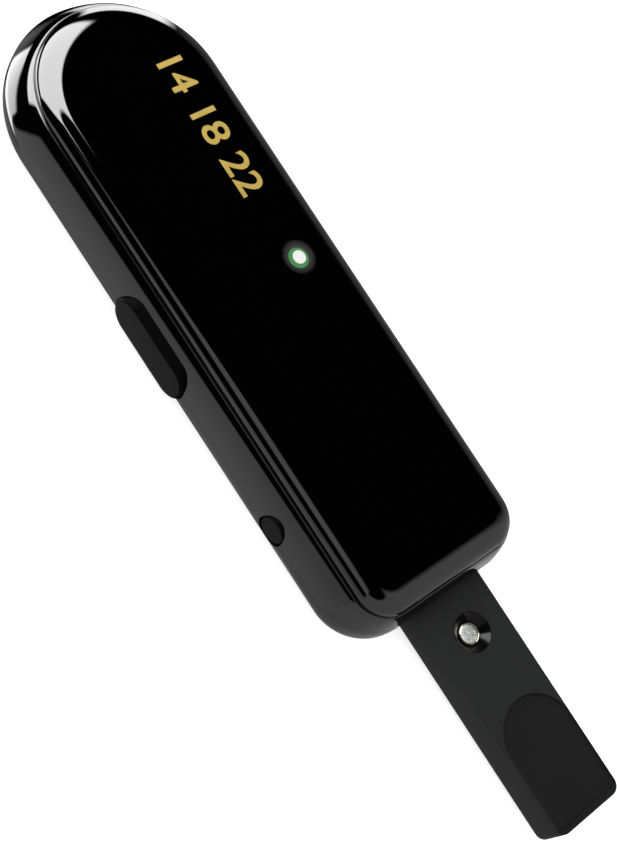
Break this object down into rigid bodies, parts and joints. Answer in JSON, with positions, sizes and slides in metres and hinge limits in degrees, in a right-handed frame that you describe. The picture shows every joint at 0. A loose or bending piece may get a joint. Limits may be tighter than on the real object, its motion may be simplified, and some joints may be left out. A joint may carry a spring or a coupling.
{
  "type": "electronic gold tester",
  "caption": "Stick-shaped hand-held metal tester: rounded case, side buttons, status light, and a sliding arm with a sample well over a flat contact.",
  "frame": {"origin": "middle of the case's flat back", "axes": "+Z out of the front panel, +Y towards the case's round end, the test arm slides out along -Y, the side buttons are on -X"},
  "size_m": [0.0336, 0.1307, 0.012],
  "materials": {
    "shell_gloss": "gloss",
    "panel_gloss": "high gloss",
    "door_gloss": "gloss",
    "arm_matte": "fine matte",
    "button_matte": "fine matte",
    "well_gloss": "high gloss",
    "ring_chrome": "polished",
    "contact_silver": "satin",
    "light_white": "diffusing",
    "screw_steel": "satin",
    "cell_steel": "satin",
    "strip_brass": "satin",
    "board_green": "lacquered",
    "chip_black": "matte",
    "guide_plastic": "natural",
    "pad_felt": "felt"
  },
  "bodies": {
    "case": {"rear_shell": "shell_gloss", "front_panel": "panel_gloss", "case_screws": "screw_steel", "light_pipe": "light_white", "status_diode": "light_white", "main_board": "board_green", "board_screws": "screw_steel", "controller_chip": "chip_black", "amplifier_chip": "chip_black", "test_switch": "chip_black", "power_switch": "chip_black", "left_rail": "guide_plastic", "right_rail": "guide_plastic", "stop_pin": "screw_steel", "drag_pad": "pad_felt", "contact_wiper": "strip_brass", "coin_cell": "cell_steel", "cell_holder": "guide_plastic", "plus_contact": "strip_brass", "minus_contact": "strip_brass", "battery_door": "door_gloss", "door_screw": "screw_steel"},
    "test_arm": {"arm_body": "arm_matte", "arm_cover": "arm_matte", "arm_cover_screws": "screw_steel", "well_cup": "well_gloss", "contact_ring": "ring_chrome", "test_contact": "contact_silver", "contact_lead": "strip_brass", "contact_track": "strip_brass"},
    "long_button": {"long_button": "button_matte", "test_switch_plunger": "guide_plastic"},
    "round_button": {"round_button": "button_matte", "power_switch_plunger": "guide_plastic"}
  },
  "joints": [
    {"name": "arm_slide", "type": "slide", "parent": "case", "child": "test_arm", "axis": [0, 1, 0], "range_m": [0, 0.0155]},
    {"name": "long_button_press", "type": "slide", "parent": "case", "child": "long_button", "axis": [1, 0, 0], "range_m": [0, 0.0005], "stiffness_N_per_m": 4000},
    {"name": "round_button_press", "type": "slide", "parent": "case", "child": "round_button", "axis": [1, 0, 0], "range_m": [0, 0.0003], "stiffness_N_per_m": 4000}
  ]
}
